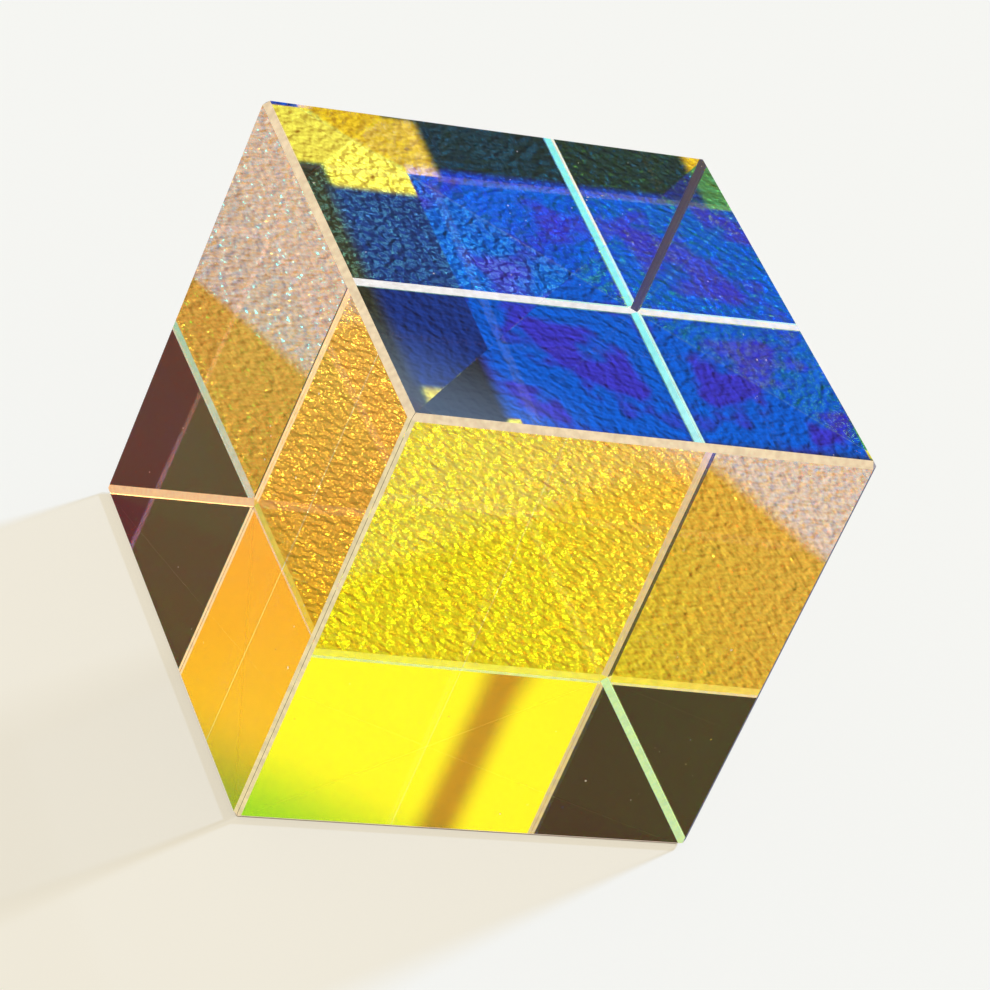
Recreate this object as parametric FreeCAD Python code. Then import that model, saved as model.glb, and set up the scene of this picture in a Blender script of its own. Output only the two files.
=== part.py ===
"""Dichroic prism cube: four right-angle glass prisms, cemented with their right-angle edges together.

Two colour-splitting mirrors stand upright on the diagonals of the bottom face and cross in the
middle of the cube, so they show as an X from above and from below. The cube is bonded in two steps.
First the front and right prisms make one half of the cube, and the left and back prisms the other.
Each of these pairs has half of the blue mirror in its seam. Then the two halves are bonded along
the other diagonal, with the whole red mirror between them.

Millimetres, +Z up. The origin is the centre of the bottom face, X runs from the left face to the
right face, and Y runs from the front face to the back face.
"""

import math
import os

import FreeCAD
import Part

# Outside of the bonded cube
CUBE_WIDTH = 25.0  # left face to right face
CUBE_DEPTH = 25.0  # front face to back face
CUBE_HEIGHT = 25.0  # bottom face to top face
EDGE_BEVEL = 0.3  # how far the ground bevel sets back each face from a sharp corner

# Layers in the seam between two prisms
BLUE_MIRROR_THICKNESS = 0.003  # stack of vacuum-deposited layers that turns blue light aside
RED_MIRROR_THICKNESS = 0.004  # the same for red light, thicker because red waves are longer
PAIR_CEMENT_THICKNESS = 0.010  # clear cement between a coated prism and its bare partner
MIDDLE_CEMENT_THICKNESS = 0.015  # clear cement between the two halves of the cube

# Diagonals of the bottom face, as angles from the X axis
BOTTOM_DIAGONAL = math.hypot(CUBE_WIDTH, CUBE_DEPTH)
RED_DIAGONAL = math.degrees(math.atan2(CUBE_DEPTH, CUBE_WIDTH))  # front left corner to back right
BLUE_DIAGONAL = -RED_DIAGONAL  # back left corner to front right


def bevelled_blank():
    """The cube as one block, with a narrow bevel ground along each of its twelve edges."""
    front_left = FreeCAD.Vector(-CUBE_WIDTH / 2, -CUBE_DEPTH / 2, 0)
    block = Part.makeBox(CUBE_WIDTH, CUBE_DEPTH, CUBE_HEIGHT, front_left)
    return block.makeChamfer(EDGE_BEVEL, block.Edges)


def upright_layer(diagonal, offset, thickness):
    """A flat layer that stands on a diagonal of the bottom face and fills the blank end to end.

    Its near side lies at the offset from the middle of the cube, on the side of the front face, and
    its thickness is measured from there towards the back.
    """
    near_side = FreeCAD.Vector(-BOTTOM_DIAGONAL / 2, offset, 0)
    layer = Part.makeBox(BOTTOM_DIAGONAL, thickness, CUBE_HEIGHT, near_side)
    layer.rotate(FreeCAD.Vector(0, 0, 0), FreeCAD.Vector(0, 0, 1), diagonal)
    return layer


def seam_layers(diagonal, mirror_thickness, cement_thickness):
    """The mirror, the cement over it, and both as one layer, centred on a diagonal.

    The mirror is coated on the glass at the front of the seam, so the cement lies behind it.
    """
    seam_thickness = mirror_thickness + cement_thickness
    near_side = -seam_thickness / 2
    mirror = upright_layer(diagonal, near_side, mirror_thickness)
    cement = upright_layer(diagonal, near_side + mirror_thickness, cement_thickness)
    seam = upright_layer(diagonal, near_side, seam_thickness)
    return mirror, cement, seam


def front_and_back(layer, middle_seam, blank):
    """The two stretches of a pair's layer, one on each side of the seam between the halves."""
    stretches = layer.common(blank).cut(middle_seam).Solids
    return sorted(stretches, key=lambda stretch: stretch.CenterOfMass.y)


def four_prisms(blank, middle_seam, pair_seam):
    """The glass that is left of the blank on the four sides of the two seams, by its outer face."""
    prisms = blank.cut([middle_seam, pair_seam]).Solids
    from_left = sorted(prisms, key=lambda prism: prism.CenterOfMass.x)
    from_front = sorted(prisms, key=lambda prism: prism.CenterOfMass.y)
    return {
        "prism_front": from_front[0],
        "prism_back": from_front[-1],
        "prism_left": from_left[0],
        "prism_right": from_left[-1],
    }


def prism_cube():
    """Every separate piece of the cube, by name."""
    blank = bevelled_blank()
    red_mirror, middle_cement, middle_seam = seam_layers(
        RED_DIAGONAL, RED_MIRROR_THICKNESS, MIDDLE_CEMENT_THICKNESS
    )
    blue_mirror, pair_cement, pair_seam = seam_layers(
        BLUE_DIAGONAL, BLUE_MIRROR_THICKNESS, PAIR_CEMENT_THICKNESS
    )
    pieces = four_prisms(blank, middle_seam, pair_seam)
    pieces["red_mirror"] = red_mirror.common(blank)
    pieces["middle_cement"] = middle_cement.common(blank)
    blue_front, blue_back = front_and_back(blue_mirror, middle_seam, blank)
    pieces["blue_mirror_front"] = blue_front
    pieces["blue_mirror_back"] = blue_back
    cement_front, cement_back = front_and_back(pair_cement, middle_seam, blank)
    pieces["pair_cement_front"] = cement_front
    pieces["pair_cement_back"] = cement_back
    return pieces


os.makedirs("parts", exist_ok=True)
for name, shape in prism_cube().items():
    shape.exportStep("parts/" + name + ".step")
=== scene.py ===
"""Dichroic prism cube on a plain pale floor, in soft studio light.

Four right-angle glass prisms are cemented round a vertical cross of two mirrors. One mirror turns
blue light aside and the other red light, and how much each turns depends on the angle at which
the light meets it. The sections follow the order in which such a cube is made and bonded.
"""
import math

import bmesh
import bpy
from mathutils import Matrix, Vector


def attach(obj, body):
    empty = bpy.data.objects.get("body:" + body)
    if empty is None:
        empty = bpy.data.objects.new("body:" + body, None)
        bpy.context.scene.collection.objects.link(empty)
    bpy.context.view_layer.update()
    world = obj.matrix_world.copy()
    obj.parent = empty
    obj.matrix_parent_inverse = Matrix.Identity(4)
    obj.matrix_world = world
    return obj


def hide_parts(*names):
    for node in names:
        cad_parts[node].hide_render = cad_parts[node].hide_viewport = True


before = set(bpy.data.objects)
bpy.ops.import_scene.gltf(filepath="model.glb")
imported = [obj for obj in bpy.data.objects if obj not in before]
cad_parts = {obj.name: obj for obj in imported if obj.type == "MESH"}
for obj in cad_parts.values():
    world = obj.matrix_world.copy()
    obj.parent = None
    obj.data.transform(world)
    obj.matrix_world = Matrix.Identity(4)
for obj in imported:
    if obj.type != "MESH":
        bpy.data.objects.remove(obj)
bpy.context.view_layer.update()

# ---- Glass prisms ----
# Four right-angle prisms of clear optical glass, sawn from a block, ground and polished. The two
# legs of each are cemented to its neighbours, and its outer face gathers a little dust. The bonded
# cube has a narrow bevel ground along its twelve edges, which is left matt.
MM = 0.001
CUBE_SIDE = 25.0 * MM
BEVEL = 0.3 * MM
RED_SEAM = 0.019 * MM  # red mirror and cement together
BLUE_SEAM = 0.013 * MM  # blue mirror and cement together
LEG_CLEARANCE = 0.0005 * MM  # keeps the glass just clear of the coating on it
GLASS_INDEX = 1.517
LEG_TURN = math.radians(135)  # from the way the outer face looks to the way a leg looks
POLISHED, BONDED, GROUND, BASE = range(4)  # the finishes of a prism's faces


def new_material(name):
    material = bpy.data.materials.new(name)
    material.use_nodes = True
    material.node_tree.nodes.clear()
    return material


def add_node(owner, kind, inputs=None, **settings):
    """A node in a material or the world. Each input is a value or another node's output."""
    tree = owner.node_tree
    node = tree.nodes.new("ShaderNode" + kind)
    for setting, value in settings.items():
        setattr(node, setting, value)
    for name, value in (inputs or {}).items():
        socket = node.inputs[name]
        if isinstance(value, bpy.types.NodeSocket):
            tree.links.new(value, socket)
        elif socket.type == "RGBA":
            socket.default_value = (*value, 1)
        else:
            socket.default_value = value
    return node


def maths(owner, operation, *values):
    return add_node(owner, "Math", dict(enumerate(values)), operation=operation).outputs[0]


def along(owner, point, direction):
    """How far a point lies along a direction."""
    inputs = {0: point, 1: direction}
    return add_node(owner, "VectorMath", inputs, operation="DOT_PRODUCT").outputs["Value"]


def fade(owner, value, start, end, low=0.0, high=1.0, smooth=True):
    """Goes from low to high while a value goes from start to end, and is level on both sides."""
    inputs = {"Value": value, "From Min": start, "From Max": end, "To Min": low, "To Max": high}
    kind = "SMOOTHSTEP" if smooth else "LINEAR"
    return add_node(owner, "MapRange", inputs, interpolation_type=kind).outputs["Result"]


def blend(owner, factor, first, second, how="MIX"):
    """The first colour where the factor is 0 and the second where it is 1."""
    inputs = {"Fac": factor, "Color1": first, "Color2": second}
    return add_node(owner, "MixRGB", inputs, blend_type=how).outputs[0]


def both_shaders(owner, first, second):
    return add_node(owner, "AddShader", {0: first, 1: second}).outputs[0]


def either_shader(owner, factor, first, second):
    return add_node(owner, "MixShader", {"Fac": factor, 1: first, 2: second}).outputs[0]


def after_glass(owner, path):
    """Is 1 for light that has already gone through glass or off a mirror, and 0 for the rest."""
    turns = maths(owner, "ADD", path["Transmission Depth"], path["Glossy Depth"])
    return maths(owner, "GREATER_THAN", turns, 0.5)


def clear_for_lamps(material, glass, tint, straight_tint=None):
    """Lets lamp light and light from the floor go straight on through a face, with a tint.

    The straight tint is for the light on what the eye sees beside the cube, where its shadow lies,
    and the other tint for the light on what the eye sees through it.
    """
    path = add_node(material, "LightPath").outputs
    if straight_tint:
        tint = blend(material, after_glass(material, path), straight_tint, tint)
    straight = add_node(material, "BsdfTransparent", {"Color": tint}).outputs[0]
    lamp = maths(material, "MAXIMUM", path["Is Shadow Ray"], path["Is Diffuse Ray"])
    return either_shader(material, lamp, glass, straight)


def surface(material, shader):
    add_node(material, "OutputMaterial", {"Surface": shader})
    return material


def clear_glass(owner, colour=(1, 1, 1)):
    inputs = {
        "Base Color": colour,
        "IOR": GLASS_INDEX,
        "Transmission Weight": 1,
        "Roughness": 0,
    }
    return add_node(owner, "BsdfPrincipled", inputs).outputs[0]


def dusty_polish():
    """The outer faces: clear, with specks of dust in patches, which are lit from both sides."""
    material = new_material("polished_glass")
    place = add_node(material, "TexCoord").outputs["Object"]
    from_speck = add_node(material, "TexVoronoi", {"Vector": place, "Scale": 900})
    patches = add_node(material, "TexNoise", {"Vector": place, "Scale": 170})
    speck_size = fade(material, patches.outputs["Fac"], 0.48, 0.68, high=0.075, smooth=False)
    dusty = maths(material, "LESS_THAN", from_speck.outputs["Distance"], speck_size)
    dust = {"Color": (0.5, 0.48, 0.44)}
    speck = both_shaders(
        material,
        add_node(material, "BsdfDiffuse", dust).outputs[0],
        add_node(material, "BsdfTranslucent", dust).outputs[0],
    )
    face = either_shader(material, dusty, clear_glass(material), speck)
    return surface(material, clear_for_lamps(material, face, (0.96, 0.96, 0.96)))


def bonded_glass():
    """The legs: there the cement has the index of the glass, so they don't show."""
    material = new_material("bonded_glass")
    return surface(material, add_node(material, "BsdfTransparent").outputs[0])


def base_light(material):
    """The colour of the light that comes down through the mirrors to the floor under the cube.

    Lamp light goes straight through the glass here, so it can't split by itself on its way down.
    The fields it would make are laid out on the base instead, in millimetres from the middle.
    """
    on_base = add_node(material, "TexCoord").outputs["Object"]
    axes = add_node(material, "SeparateXYZ", {0: on_base}).outputs

    def past(distance, edge, softness):
        return fade(material, distance, (edge - softness / 2) * MM, (edge + softness / 2) * MM)

    bright_blue, violet, dark_blue = (0.0, 0.24, 1.55), (0.13, 0.08, 1.35), (0.04, 0.08, 0.55)
    dusk, brown = (0.07, 0.05, 0.05), (0.12, 0.09, 0.06)
    # in front of the blue mirror the light has lost green and blue to it, which is made good here
    yellow, yellow_in_front = (1.5, 1.75, 0.35), (1.7, 7.4, 16.0)

    behind_mirror = maths(material, "GREATER_THAN", along(material, on_base, (1, 1, 0)), 0)
    patch = blend(material, behind_mirror, yellow_in_front, yellow)
    slanted_edge = along(material, on_base, (-0.8, 1, 0))
    patch = blend(material, past(slanted_edge, -0.1, 0.5), dusk, patch)
    patch = blend(material, past(axes["X"], -2.4, 0.6), brown, patch)
    far_left = blend(material, past(axes["X"], -2.6, 1.2), brown, dark_blue)
    left = blend(material, past(axes["Y"], 4.3, 0.8), patch, far_left)

    blotches = add_node(material, "TexNoise", {"Vector": on_base, "Scale": 230, "Detail": 3})
    in_blotch = fade(material, blotches.outputs["Fac"], 0.46, 0.58)
    blotched = blend(material, in_blotch, bright_blue, violet)
    right = blend(material, past(axes["Y"], 1.9, 1.0), dusk, blotched)
    return blend(material, past(axes["X"], 2.5, 0.06), left, right)


def polished_base():
    """The face on the floor, clear too. Its hue is painted light: it follows the light that comes
    down to the floor under it.
    """
    material = new_material("polished_base")
    light = base_light(material)
    warmth = add_node(material, "SeparateColor", {0: light}).outputs["Red"]
    # painted light: the glass is tinted pale yellow where the light on the floor under it is warm,
    # and blue elsewhere
    painted_light_hue = blend(material, warmth, (0.1, 0.6, 1.0), (1.0, 0.97, 0.5))
    return surface(material, clear_for_lamps(material, clear_glass(material, painted_light_hue), light))


def ground_glass():
    """The bevels: matt, with a painted glow that stands in for light caught in the glass.

    The glow has another colour along each edge, and shows on each bevel mostly near one direction.
    """
    material = new_material("ground_glass")
    place = add_node(material, "TexCoord").outputs["Object"]
    axes = add_node(material, "SeparateXYZ", {0: place}).outputs
    slant = add_node(material, "LayerWeight", {"Blend": 0.5}).outputs["Facing"]

    def past(axis, start):
        return maths(material, "GREATER_THAN", axes[axis], start)

    def times(first, second):
        return blend(material, 1, first, second, "MULTIPLY")

    side, top = CUBE_SIDE / 2 - BEVEL, CUBE_SIDE - BEVEL
    # the colours of the painted glow along the edges
    cream, pale, upright_cream = (1.0, 0.85, 0.75), (1.25, 1.05, 0.72), (1.5, 1.2, 0.5)
    gold, buff = (1.0, 0.78, 0.06), (1.0, 0.8, 0.5)
    white, cyan, pale_cyan = (1.55, 1.65, 1.7), (0.35, 1.75, 1.8), (0.9, 1.7, 1.5)
    dim = (0.4, 0.42, 0.5)

    # painted glow on the lower edges: left, front, right and back
    cyan_band = maths(
        material,
        "MULTIPLY",
        fade(material, slant, 0.165, 0.195, smooth=False),
        fade(material, slant, 0.3, 0.25, smooth=False),
    )
    back_low = blend(material, cyan_band, white, cyan)
    left_low = blend(material, maths(material, "GREATER_THAN", slant, 0.3), gold, buff)
    right_low = blend(material, maths(material, "GREATER_THAN", slant, 0.48), back_low, pale_cyan)
    low = blend(material, past("X", -side), left_low, cream)
    low = blend(material, past("X", side), low, right_low)
    low = blend(material, past("Y", side), low, back_low)

    # painted glow on the upper edges: those on the left and in front, and then the other two
    high = blend(material, past("X", side), pale, dim)
    high = blend(material, past("Y", side), high, dim)

    above_base, at_top = past("Z", BEVEL), past("Z", top)
    painted_glow = blend(material, above_base, low, blend(material, at_top, upright_cream, high))

    # on the four upright edges the painted glow is faint except where they are seen nearly head on
    below_top = maths(material, "LESS_THAN", axes["Z"], top)
    upright = maths(material, "MULTIPLY", above_base, below_top)
    head_on = fade(material, slant, 0.42, 0.28, low=0.05)
    straight_on = fade(material, slant, 0.15, 0.12, low=1, high=1.6, smooth=False)
    upright_strength = maths(material, "MULTIPLY", head_on, straight_on)
    painted_glow = times(painted_glow, blend(material, upright, (1, 1, 1), upright_strength))

    grain = add_node(material, "TexNoise", {"Vector": place, "Scale": 2600, "Detail": 4})
    grain = fade(material, grain.outputs["Fac"], 0.35, 0.65, low=0.85, high=1.1, smooth=False)
    painted_glow = times(painted_glow, grain)

    # the matt colour is a third of the painted glow, and the matt and scattered colours are dark
    # blue on the upright edges
    matt = {
        "Base Color": blend(material, upright, times(painted_glow, (0.3, 0.3, 0.3)), (0.12, 0.17, 0.45)),
        "IOR": GLASS_INDEX,
        "Roughness": 0.45,
        "Emission Color": painted_glow,
        "Emission Strength": 0.6,
    }
    scattered = {"Color": blend(material, upright, (0.92, 0.82, 0.66), (0.02, 0.04, 0.1))}
    bevel = either_shader(
        material,
        0.15,
        add_node(material, "BsdfPrincipled", matt).outputs[0],
        add_node(material, "BsdfTranslucent", scattered).outputs[0],
    )
    return surface(material, clear_for_lamps(material, bevel, (0.85, 0.82, 0.76)))


finishes = [dusty_polish(), bonded_glass(), ground_glass(), polished_base()]


def prism(name, outer_turn):
    """One prism: the bevelled cube cut back to the two seams beside its outer face."""
    bm = bmesh.new()
    bmesh.ops.create_cube(bm, size=CUBE_SIDE)
    bmesh.ops.bevel(
        bm, geom=bm.edges[:], affect="EDGES", offset=BEVEL, segments=1, profile=0.5, material=-1
    )
    bmesh.ops.translate(bm, verts=bm.verts, vec=(0, 0, CUBE_SIDE / 2))
    outward = Matrix.Rotation(outer_turn, 3, "Z") @ Vector((0, -1, 0))
    for side in (-1, 1):
        leg = Matrix.Rotation(side * LEG_TURN, 3, "Z") @ outward
        on_red = leg.x * leg.y < 0
        half_seam = (RED_SEAM if on_red else BLUE_SEAM) / 2 + LEG_CLEARANCE
        cut = bmesh.ops.bisect_plane(
            bm,
            geom=bm.verts[:] + bm.edges[:] + bm.faces[:],
            plane_co=-leg * half_seam,
            plane_no=leg,
            clear_outer=True,
        )
        rim = [item for item in cut["geom_cut"] if isinstance(item, bmesh.types.BMEdge)]
        bmesh.ops.edgeloop_fill(bm, edges=rim)
    bmesh.ops.recalc_face_normals(bm, faces=bm.faces)
    for face in bm.faces:
        # the legs and the bevels lean away from the cube's own directions, and the legs are the
        # ones that pass close by its upright centre line
        square_on = max(abs(axis) for axis in face.normal) > 0.99
        upright = abs(face.normal.z) < 0.01
        by_centre = abs(face.calc_center_median().dot(face.normal)) < 1 * MM
        if square_on:
            face.material_index = BASE if face.normal.z < -0.99 else POLISHED
        else:
            face.material_index = BONDED if upright and by_centre else GROUND
    mesh = bpy.data.meshes.new(name)
    bm.to_mesh(mesh)
    bm.free()
    for finish in finishes:
        mesh.materials.append(finish)
    piece = bpy.data.objects.new(name, mesh)
    bpy.context.collection.objects.link(piece)
    return piece


for place, turn in (("front", 0), ("right", 90), ("back", 180), ("left", 270)):
    glass_prism = prism("glass_prism_" + place, math.radians(turn))
    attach(glass_prism, "root")
    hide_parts("prism_" + place)

# ---- Mirrors ----
# Stacks of very thin clear layers, laid on one leg of a prism in a vacuum. They absorb almost
# nothing: what a mirror doesn't turn aside goes on through it. Its band of colours moves towards
# the blue as light meets it more slantingly, and past about 75 degrees it turns all light aside.
BLUE_FILM = 0.003 * MM
RED_FILM = 0.004 * MM
GRAZING = 74  # degrees from head on

# what each mirror lets through, by how many degrees from head on the light meets it
BLUE_PASSES = [
    (0, (1.0, 0.4, 0.1)),
    (23, (1.0, 0.5, 0.15)),
    (24.5, (1.0, 0.48, 0.12)),
    (25.5, (1.0, 0.38, 0.08)),
    (26.5, (1.0, 0.46, 0.02)),
    (28, (1.0, 0.65, 0.01)),
    (30, (1.0, 0.49, 0.12)),
    (31.5, (1.0, 0.52, 0.08)),
    (33, (1.0, 0.9, 0.01)),
    (36, (1.0, 0.97, 0.01)),
    (45, (1.0, 1.0, 0.35)),
    (55, (1.0, 1.0, 1.0)),
    (72, (1.0, 1.0, 1.0)),
    (75, (0.0, 0.0, 0.0)),
]
RED_PASSES = [
    (0, (0.9, 1.0, 1.0)),
    (33, (0.85, 1.0, 1.0)),
    (45, (0.03, 0.85, 1.0)),
    (54, (0.06, 0.3, 0.97)),
    (58, (0.08, 0.3, 0.96)),
    (66, (0.6, 0.85, 0.9)),
    (72, (0.6, 0.85, 0.9)),
    (75, (0.0, 0.0, 0.0)),
]


def facing(degrees):
    """Layer Weight's measure for a face that is met so far from head on."""
    return 1 - math.cos(math.radians(degrees))


def splitting_mirror(name, passes, kept, lamp_tint, straight_tint, coated_side, across):
    """A coating on the front face of a film, which passes a colour for each angle.

    It mirrors the kept share of the rest, or all of it where the light only grazes the mirror. The
    coated face is told from the back of the film by its place across the mirror.
    """
    material = new_material(name)
    slant = add_node(material, "LayerWeight", {"Blend": 0.5}).outputs["Facing"]
    through = add_node(material, "ValToRGB", {"Fac": slant})
    ramp = through.color_ramp
    ramp.interpolation = "LINEAR"
    while len(ramp.elements) < len(passes):
        ramp.elements.new(0.5)
    for element, (degrees, colour) in zip(ramp.elements, passes):
        element.position = facing(degrees)
        element.color = (*colour, 1)
    through = through.outputs["Color"]

    grazing = maths(material, "GREATER_THAN", slant, facing(GRAZING))
    share = blend(material, grazing, kept, (1, 1, 1))
    aside = add_node(material, "Invert", {"Color": through}).outputs["Color"]
    turned = {"Color": blend(material, 1, aside, share, "MULTIPLY"), "Roughness": 0}
    coating = both_shaders(
        material,
        add_node(material, "BsdfTransparent", {"Color": through}).outputs[0],
        add_node(material, "BsdfGlossy", turned).outputs[0],
    )

    place = add_node(material, "TexCoord").outputs["Object"]
    in_front = maths(material, "LESS_THAN", along(material, place, across), coated_side)
    bare = add_node(material, "BsdfTransparent").outputs[0]
    film = either_shader(material, in_front, bare, coating)
    return surface(material, clear_for_lamps(material, film, lamp_tint, straight_tint))


DIAGONAL = math.sqrt(0.5)  # what a direction across the corners has along each side
blue_coating = splitting_mirror(
    "blue_mirror",
    passes=BLUE_PASSES,
    kept=(1.0, 0.7, 0.95),
    lamp_tint=(1.0, 0.5, 0.1),
    straight_tint=(1.0, 0.96, 0.9),
    coated_side=(BLUE_FILM - BLUE_SEAM) / 2,
    across=(DIAGONAL, DIAGONAL, 0),
)
red_coating = splitting_mirror(
    "red_mirror",
    passes=RED_PASSES,
    kept=(1.0, 1.0, 1.0),
    lamp_tint=(0.95, 0.9, 0.95),
    straight_tint=(0.95, 0.95, 0.95),
    coated_side=(RED_FILM - RED_SEAM) / 2,
    across=(-DIAGONAL, DIAGONAL, 0),
)
for node in ("blue_mirror_front", "blue_mirror_back"):
    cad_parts[node].material_slots[0].material = blue_coating
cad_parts["red_mirror"].material_slots[0].material = red_coating

# ---- Cement ----
# Clear optical cement, spread thin, squeezed out and cured. It has the index of the glass, so no
# light is mirrored where it meets a prism. Its two ends are polished along with the cube.
END_DEPTH = 0.0005 * MM  # how near the top or the base a face is one of those ends


def optical_cement():
    """Cement that is a shade yellower in some streaks than in others."""
    material = new_material("optical_cement")
    place = add_node(material, "TexCoord").outputs["Object"]
    streaks = add_node(material, "TexNoise", {"Vector": place, "Scale": 160, "Detail": 1})
    tone = blend(material, streaks.outputs["Fac"], (1.0, 1.0, 1.0), (0.985, 0.98, 0.96))
    clear = add_node(material, "BsdfTransparent", {"Color": tone}).outputs[0]
    height = add_node(material, "SeparateXYZ", {0: place}).outputs["Z"]
    from_middle = maths(material, "ABSOLUTE", maths(material, "SUBTRACT", height, CUBE_SIDE / 2))
    at_end = maths(material, "GREATER_THAN", from_middle, CUBE_SIDE / 2 - END_DEPTH)
    layer = either_shader(material, at_end, clear, clear_glass(material))
    return surface(material, clear_for_lamps(material, layer, (1.0, 1.0, 1.0)))


cement = optical_cement()
for node in ("middle_cement", "pair_cement_front", "pair_cement_back"):
    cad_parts[node].material_slots[0].material = cement

# ---- Camera ----
# It stands about a quarter of a metre off, where the photograph's stood, looks down on the near
# corner through a long lens, and is rolled to the left.
camera_data = bpy.data.cameras.new("camera")
camera_data.sensor_width = 36
camera_data.lens = 178.05
camera_data.clip_start = 0.01
camera_data.clip_end = 50
camera = bpy.data.objects.new("camera", camera_data)
camera.location = (-0.109855, -0.173102, 0.142722)
camera.rotation_euler = [math.radians(a) for a in (54.951006, -20.580100, -18.873357)]
bpy.context.collection.objects.link(camera)
bpy.context.scene.camera = camera

# ---- Stage ----
# A plain pale floor, a soft lamp on the right, and a dark room with a bright window at the back,
# which the cube shows through itself. The floor's fine grain shows only through the glass.
FLOOR_DROP = 0.03 * MM
FLOOR_REACH = 3.0  # half its width
bm = bmesh.new()
bmesh.ops.create_grid(bm, x_segments=1, y_segments=1, size=FLOOR_REACH)
bmesh.ops.translate(bm, verts=bm.verts, vec=(0, 0, -FLOOR_DROP))
floor_mesh = bpy.data.meshes.new("floor")
bm.to_mesh(floor_mesh)
bm.free()
floor = bpy.data.objects.new("floor", floor_mesh)
bpy.context.collection.objects.link(floor)


def pale_floor():
    """Plain to the eye, grained and glossy through the glass, and a dim copy with painted shade as
    mirrored from outside.
    """
    material = new_material("floor")
    place = add_node(material, "TexCoord").outputs["Object"]
    axes = add_node(material, "SeparateXYZ", {0: place}).outputs
    weave = {"Vector": place, "Scale": 1800, "Detail": 1.2, "Roughness": 0.45, "Distortion": 0.15}
    grain = add_node(material, "TexNoise", weave).outputs["Fac"]

    from_middle = maths(
        material,
        "MAXIMUM",
        maths(material, "ABSOLUTE", axes["X"]),
        maths(material, "ABSOLUTE", axes["Y"]),
    )
    covered = fade(material, from_middle, 13.5 * MM, 12.5 * MM, smooth=False)

    # under the cube light comes down after one turn in the glass, so the gloss faces another way
    gloss_faces = blend(material, covered, (0, 0, 1), (0.21, 0.73, 0.64))
    flat = {"Strength": 1, "Distance": 0.00023, "Height": grain}
    leaning = {"Strength": 1, "Distance": 0.00062, "Height": grain, "Normal": gloss_faces}
    matt = {
        "Color": (0.97, 0.93, 0.62),
        "Normal": add_node(material, "Bump", flat).outputs["Normal"],
    }
    slant = add_node(material, "LayerWeight", {"Blend": 0.5, "Normal": gloss_faces})
    towards_gloss = fade(material, slant.outputs["Facing"], 0.55, 0.35, smooth=False)
    gloss = blend(material, covered, (1, 1, 1), towards_gloss)
    sheen = {
        "Color": blend(material, 1, gloss, (0.18, 0.16, 0.05), "MULTIPLY"),
        "Roughness": 0.24,
        "Normal": add_node(material, "Bump", leaning).outputs["Normal"],
    }
    grained = both_shaders(
        material,
        add_node(material, "BsdfDiffuse", matt).outputs[0],
        add_node(material, "BsdfGlossy", sheen).outputs[0],
    )

    path = add_node(material, "LightPath").outputs
    plain = add_node(material, "BsdfDiffuse", {"Color": (0.99, 0.98, 0.95)}).outputs[0]
    seen = either_shader(material, path["Is Camera Ray"], grained, plain)
    # painted shade: where the cube's outer faces mirror the floor, it is a dim yellow-brown copy
    not_in_glass = maths(material, "LESS_THAN", path["Transmission Depth"], 0.5)
    mirrored = maths(material, "MULTIPLY", path["Is Glossy Ray"], not_in_glass)
    dim = add_node(material, "BsdfDiffuse", {"Color": (0.28, 0.18, 0.02)}).outputs[0]
    return surface(material, either_shader(material, mirrored, seen, dim))


floor_mesh.materials.append(pale_floor())

world = bpy.data.worlds.new("studio")
bpy.context.scene.world = world
world.use_nodes = True
world.node_tree.nodes.clear()

BAR_TURN = math.radians(56.05)  # from the right, towards the back
direction = add_node(world, "TexCoord").outputs["Generated"]
height = add_node(world, "SeparateXYZ", {0: direction}).outputs["Z"]
path = add_node(world, "LightPath").outputs


def times(first, second):
    return maths(world, "MULTIPLY", first, second)


# the window: its sill and head, its near side, and one upright bar, which is wider low down
window = times(fade(world, height, 0.515, 0.53), fade(world, height, 0.90, 0.75))
to_back_right = along(world, direction, (DIAGONAL, DIAGONAL, 0))
window = times(window, fade(world, to_back_right, 0.55, 0.70))
from_bar = along(world, direction, (-math.sin(BAR_TURN), math.cos(BAR_TURN), 0))
narrowing = maths(world, "MULTIPLY_ADD", fade(world, height, 0.548, 0.572), 0.65, 0.35)
beside_bar = fade(world, times(maths(world, "ABSOLUTE", from_bar), narrowing), 0.0008, 0.0065)
window = times(window, maths(world, "MULTIPLY_ADD", beside_bar, 0.86, 0.14))

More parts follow.
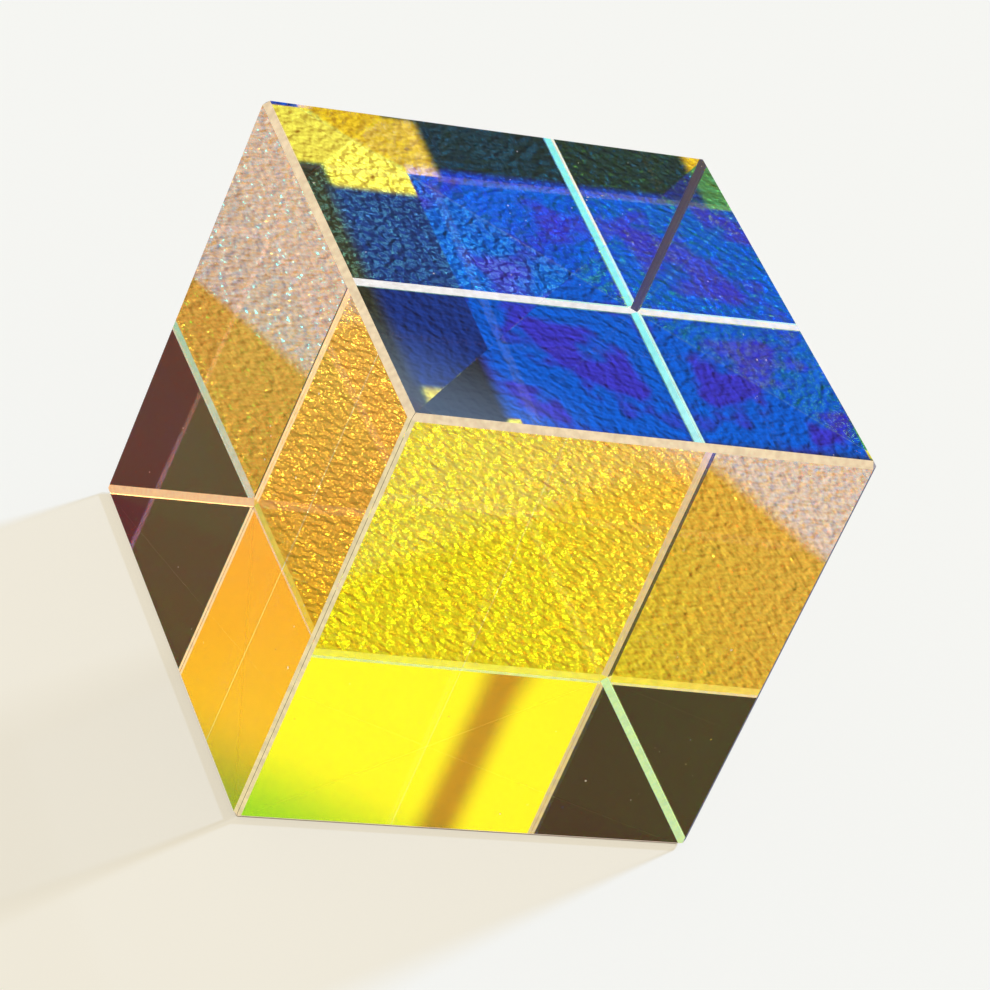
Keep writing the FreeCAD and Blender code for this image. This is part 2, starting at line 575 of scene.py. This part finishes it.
# what stands in it: sky, which is yellower through the glass, and above that something green
in_glass = maths(world, "GREATER_THAN", path["Transmission Depth"], 0.5)
sky = blend(world, in_glass, (0.9, 1.4, 2.3), (1.2, 1.15, 0.3))
view = blend(world, fade(world, height, 0.588, 0.604), sky, (0.35, 0.8, 0.6))
window = blend(world, window, (0, 0, 0), view)

# a pale horizon, which mirrors leave out, and dark walls that are redder on the right in front
not_mirrored = maths(world, "SUBTRACT", 0.95, times(path["Is Glossy Ray"], 0.95))
horizon = times(fade(world, height, 0.25, 0.05), not_mirrored)
to_front_right = along(world, direction, (0.47, -0.88, 0))
walls = blend(
    world, fade(world, to_front_right, 0.3, 0.6), (0.062, 0.043, 0.025), (0.105, 0.035, 0.04)
)
room = blend(world, 1, blend(world, 1, window, horizon, "ADD"), walls, "ADD")

# the eye, mirrors and glass see that room, and matt surfaces get an even light instead
even = blend(world, after_glass(world, path), (0.38, 0.31, 0.19), (0.24, 0.1, 0.01))
by_glass = maths(world, "MAXIMUM", path["Is Glossy Ray"], path["Is Transmission Ray"])
seen = maths(world, "MAXIMUM", by_glass, path["Is Camera Ray"])
background = add_node(world, "Background", {"Color": blend(world, seen, even, room)})
add_node(world, "OutputWorld", {"Surface": background.outputs[0]})

KEY_TURN = math.radians(28)  # from the right, towards the back
KEY_HEIGHT = math.radians(30)
key_data = bpy.data.lights.new("key", "SUN")
key_data.energy = 5.2
key_data.color = (0.66, 0.76, 0.9)
key_data.angle = math.radians(5)
key = bpy.data.objects.new("key", key_data)
towards_key = Vector((math.cos(KEY_TURN), math.sin(KEY_TURN), math.tan(KEY_HEIGHT)))
key.rotation_euler = towards_key.to_track_quat("Z", "Y").to_euler()
key.visible_transmission = False
bpy.context.collection.objects.link(key)

scene = bpy.context.scene
scene.view_settings.view_transform = "Standard"
scene.cycles.max_bounces = 12
scene.cycles.transmission_bounces = 12
scene.cycles.glossy_bounces = 12
scene.cycles.diffuse_bounces = 1
scene.cycles.transparent_max_bounces = 40
scene.cycles.caustics_reflective = False
scene.cycles.caustics_refractive = False
world.cycles.sampling_method = "NONE"
